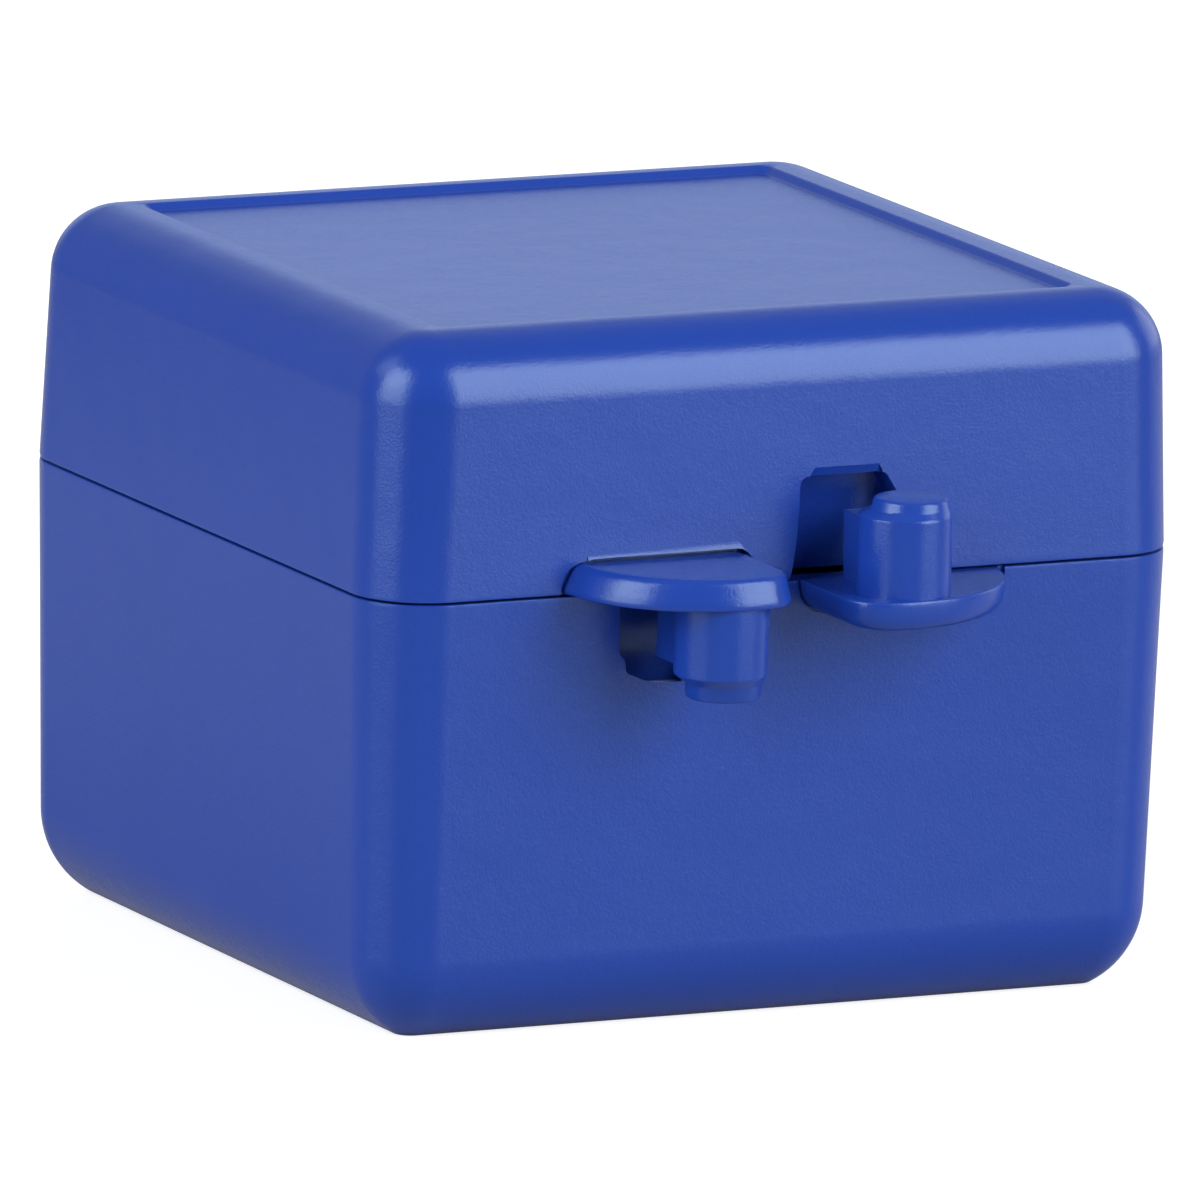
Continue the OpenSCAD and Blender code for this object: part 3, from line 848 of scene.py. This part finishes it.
def studio_floor():
    """A pale floor with a faint gloss and a painted pool of light, paler near the box; the camera sees it
    as white, with the box's shadow.
    """
    bm = bmesh.new()
    bmesh.ops.create_grid(bm, x_segments=1, y_segments=1, size=3.0)
    mesh = bpy.data.meshes.new("studio_floor")
    bm.to_mesh(mesh)
    bm.free()
    floor = bpy.data.objects.new("studio_floor", mesh)
    bpy.context.scene.collection.objects.link(floor)
    material, nodes, links, paper = new_material("pale_floor")
    paper.inputs['Roughness'].default_value = 0.12
    paper.inputs['IOR'].default_value = 1.07
    paper.inputs['Emission Color'].default_value = (1, 1, 1, 1)
    place = nodes.new('ShaderNodeTexCoord')
    reach = nodes.new('ShaderNodeVectorMath')
    reach.operation = 'LENGTH'
    links.new(place.outputs['Object'], reach.inputs[0])
    # Painted pool of light: the floor's colour is paler near the box and darker farther out; the glow below
    # keeps it white to the camera.
    tone = nodes.new('ShaderNodeMapRange')
    tone.interpolation_type = 'SMOOTHSTEP'
    tone.inputs['From Min'].default_value, tone.inputs['From Max'].default_value = NEAR_REACH, FAR_REACH
    tone.inputs['To Min'].default_value, tone.inputs['To Max'].default_value = POOL_NEAR_TONE, POOL_FAR_TONE
    links.new(reach.outputs['Value'], tone.inputs['Value'])
    links.new(tone.outputs['Result'], paper.inputs['Base Color'])
    lit = math_node(nodes, links, 'MULTIPLY', tone.outputs['Result'], FLOOR_LIT)
    missing = math_node(nodes, links, 'SUBTRACT', FLOOR_WHITE, lit)
    glow = math_node(nodes, links, 'MULTIPLY', missing, seen_rays(nodes, links, FLOOR_SHARE))
    links.new(glow, paper.inputs['Emission Strength'])
    mesh.materials.append(material)


def soft_panel(name, turns, rises, brightness, tint):
    """An upright soft panel a metre away. A brightness of 1 is a white sheet's."""
    low, high = (math.tan(math.radians(rise)) for rise in rises)
    middle, half = math.radians(sum(turns) / 2), math.radians((turns[1] - turns[0]) / 2)
    data = bpy.data.lights.new(name, 'AREA')
    data.shape, data.size, data.size_y = 'RECTANGLE', 2 * math.tan(half), high - low
    data.energy = brightness * math.pi * data.size * data.size_y
    data.color = tint
    lamp = bpy.data.objects.new(name, data)
    bpy.context.scene.collection.objects.link(lamp)
    place = Vector((math.sin(middle), -math.cos(middle), (low + high) / 2))
    upright = Matrix.Rotation(middle, 4, 'Z') @ Matrix.Rotation(math.pi / 2, 4, 'X')
    lamp.matrix_world = Matrix.Translation(place) @ upright
    lamp.visible_camera = False


def studio_light():
    """The world and the soft panels."""
    world = bpy.data.worlds.new("studio")
    bpy.context.scene.world = world
    world.use_nodes = True
    nodes, links = world.node_tree.nodes, world.node_tree.links
    glow = math_node(nodes, links, 'MULTIPLY', seen_rays(nodes, links, SKY_SHARE), 1 - SKY_LEVEL)
    links.new(math_node(nodes, links, 'ADD', glow, SKY_LEVEL), nodes["Background"].inputs['Strength'])
    nodes["Background"].inputs['Color'].default_value = (1, 1, 1, 1)
    for row in PANELS:
        soft_panel(*row)


# The whole box

bpy.context.scene.view_settings.view_transform = 'Standard'
photo_camera()
studio_floor()
studio_light()

spark_grain = spark_grain_group()
flow_tone = flow_tone_group()
blue = moulded_plastic("blue_plastic", spark_grain, flow_tone, BLUE_LOW, BLUE_HIGH)
steel = drawn_steel("pin_steel")

pieces = (
    (base_shell_piece(), "base", "base_shell", "moulded", blue),
    (lid_shell_piece(), "lid", "lid_shell", "moulded", blue),
    (base_tab_piece(), "base_latch", "base_latch_tab", "moulded", blue),
    (lid_tab_piece(), "lid_latch", "lid_latch_tab", "moulded", blue),
    (base_knuckle_piece("knuckle_left", -KNUCKLE_X), "base", "base_knuckle_left", "moulded", blue),
    (base_knuckle_piece("knuckle_right", KNUCKLE_X), "base", "base_knuckle_right", "moulded", blue),
    (lid_knuckle_piece(), "lid", "lid_knuckle", "moulded", blue),
    (pin_piece(), "base", "hinge_pin", "pin", steel),
)
for piece, body, node, slot, material in pieces:
    piece.data.materials.clear()
    piece.data.materials.append(material)
    finish_surface(piece)
    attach(piece, body)
    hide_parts(node)
